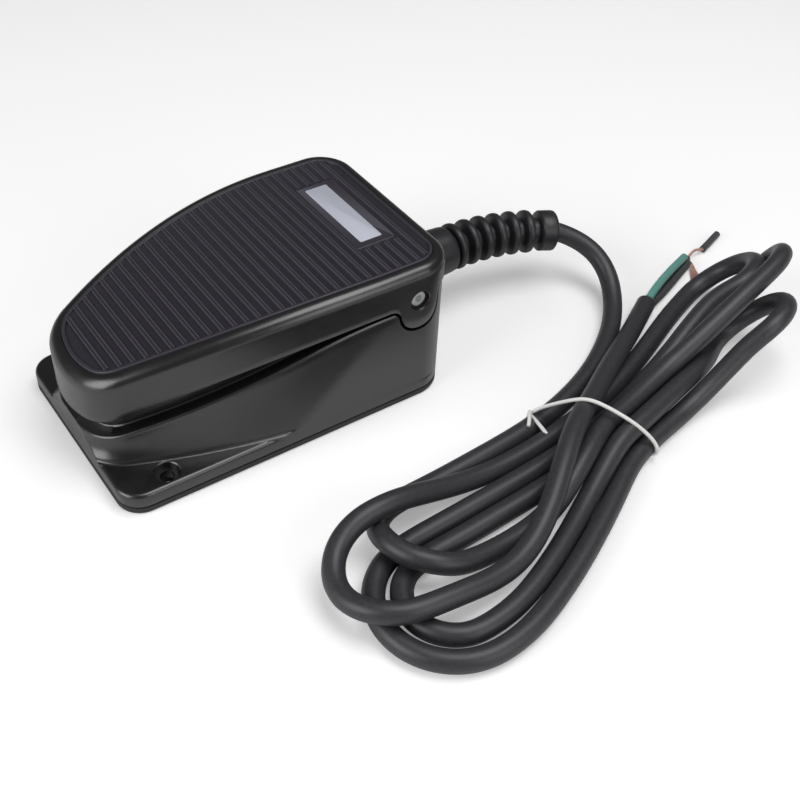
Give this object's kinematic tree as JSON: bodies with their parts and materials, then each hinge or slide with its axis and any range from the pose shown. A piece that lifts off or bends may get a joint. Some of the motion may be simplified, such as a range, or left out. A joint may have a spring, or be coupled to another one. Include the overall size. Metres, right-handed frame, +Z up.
{
  "type": "foot switch",
  "caption": "Industrial foot switch with a hinged, arched pedal, ribbed rubber tread, sprung snap switch, flanged base, bend relief and a tied hank of cord",
  "frame": {"origin": "on the ground under the middle of the base", "axes": "+X from the toe end towards the hinge and the cord, +Y across the pedal, +Z up from the ground"},
  "size_m": [0.325, 0.21, 0.0625],
  "materials": {
    "housing_black": "fine satin black paint",
    "pedal_black": "fine satin black paint",
    "tread_rubber": "moulded, matte",
    "mat_rubber": "moulded, matte",
    "zinc_steel": "zinc plated",
    "spring_steel": "drawn wire",
    "bronze": "sintered bush",
    "brass": "bright brass",
    "switch_plastic": "glass-filled, matte",
    "cover_plastic": "glass-filled, matte",
    "button_plastic": "polished",
    "guide_plastic": "moulded",
    "buffer_rubber": "moulded",
    "boot_rubber": "moulded, matte",
    "cord_pvc": "extruded jacket, slightly glossy",
    "green_pvc": "extruded",
    "white_pvc": "extruded",
    "black_pvc": "extruded",
    "red_vinyl": "moulded"
  },
  "bodies": {
    "base": {"base_housing": "housing_black", "base_mat": "mat_rubber", "hinge_pins": "zinc_steel", "thrust_washers": "zinc_steel", "switch_bracket": "zinc_steel", "bracket_screws": "zinc_steel", "switch_case": "switch_plastic", "switch_cover": "cover_plastic", "switch_screws": "zinc_steel", "switch_terminals": "brass", "lever_pin": "zinc_steel", "return_spring": "spring_steel", "spring_guide": "guide_plastic", "stop_buffers": "buffer_rubber", "cable_clamp": "zinc_steel", "clamp_screws": "zinc_steel", "earth_terminal": "brass", "earth_screw": "zinc_steel", "wire_earth": "green_pvc", "wire_common": "white_pvc", "wire_switched": "black_pvc", "spade_sleeves": "red_vinyl", "cord_stub": "cord_pvc", "gland_sleeve": "boot_rubber", "strain_relief": "boot_rubber", "cord_lead": "cord_pvc", "cord_hank": "cord_pvc", "cord_tail": "cord_pvc", "cord_conductors": "green_pvc"},
    "pedal": {"pedal": "pedal_black", "tread_mat": "tread_rubber", "pivot_bushes": "bronze", "striker_screw": "zinc_steel", "striker_nut": "zinc_steel"},
    "switch_lever": {"switch_lever": "spring_steel"},
    "switch_button": {"switch_button": "button_plastic"}
  },
  "joints": [
    {"name": "pedal_hinge", "type": "hinge", "parent": "base", "child": "pedal", "pos_m": [0.0532, 0, 0.0481], "axis": [0, -1, 0], "range_deg": [0, 3], "stiffness_Nm_per_rad": 4, "springref_deg": -6.88, "deforming": ["return_spring"]},
    {"name": "lever_hinge", "type": "hinge", "parent": "base", "child": "switch_lever", "pos_m": [0.02, 0, 0.0414], "axis": [0, -1, 0], "range_deg": [0, 8.6]},
    {"name": "button_slide", "type": "slide", "parent": "base", "child": "switch_button", "axis": [0, 0, -1], "range_m": [0, 0.00115]}
  ],
  "couplings": [
    {"joint": "lever_hinge", "follows": "pedal_hinge", "ratio": 2.844},
    {"joint": "button_slide", "follows": "pedal_hinge", "m_per_rad": 0.0213}
  ]
}
